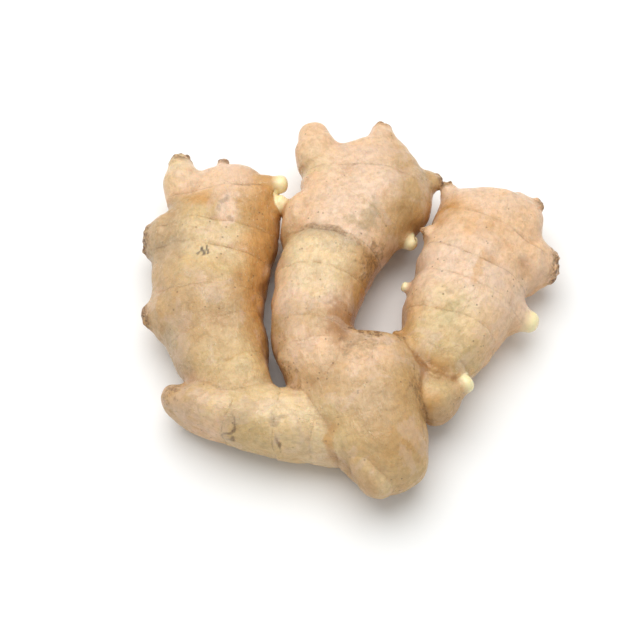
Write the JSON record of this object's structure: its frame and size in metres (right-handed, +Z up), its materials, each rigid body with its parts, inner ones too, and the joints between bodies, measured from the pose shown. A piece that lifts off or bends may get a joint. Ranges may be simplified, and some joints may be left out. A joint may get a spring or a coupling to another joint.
{
  "type": "ginger root",
  "caption": "Fresh ginger rhizome: a knobbly, branching hand of ringed fingers with small buds, lying flat as it rests on a surface.",
  "frame": {"origin": "centre of the footprint's box, on the surface that the rhizome rests on", "axes": "+X across the hand from the arm's tip to the right finger, along the longest extent; +Y from the mother piece towards the tips of the fingers; +Z up from the surface, along the shortest extent"},
  "size_m": [0.1452, 0.138, 0.0338],
  "materials": {
    "ginger_skin": "thin satin plant skin, pale tan with pinkish and grey-brown patches"
  },
  "bodies": {
    "root": {"ginger_rhizome": "ginger_skin"}
  },
  "joints": []
}
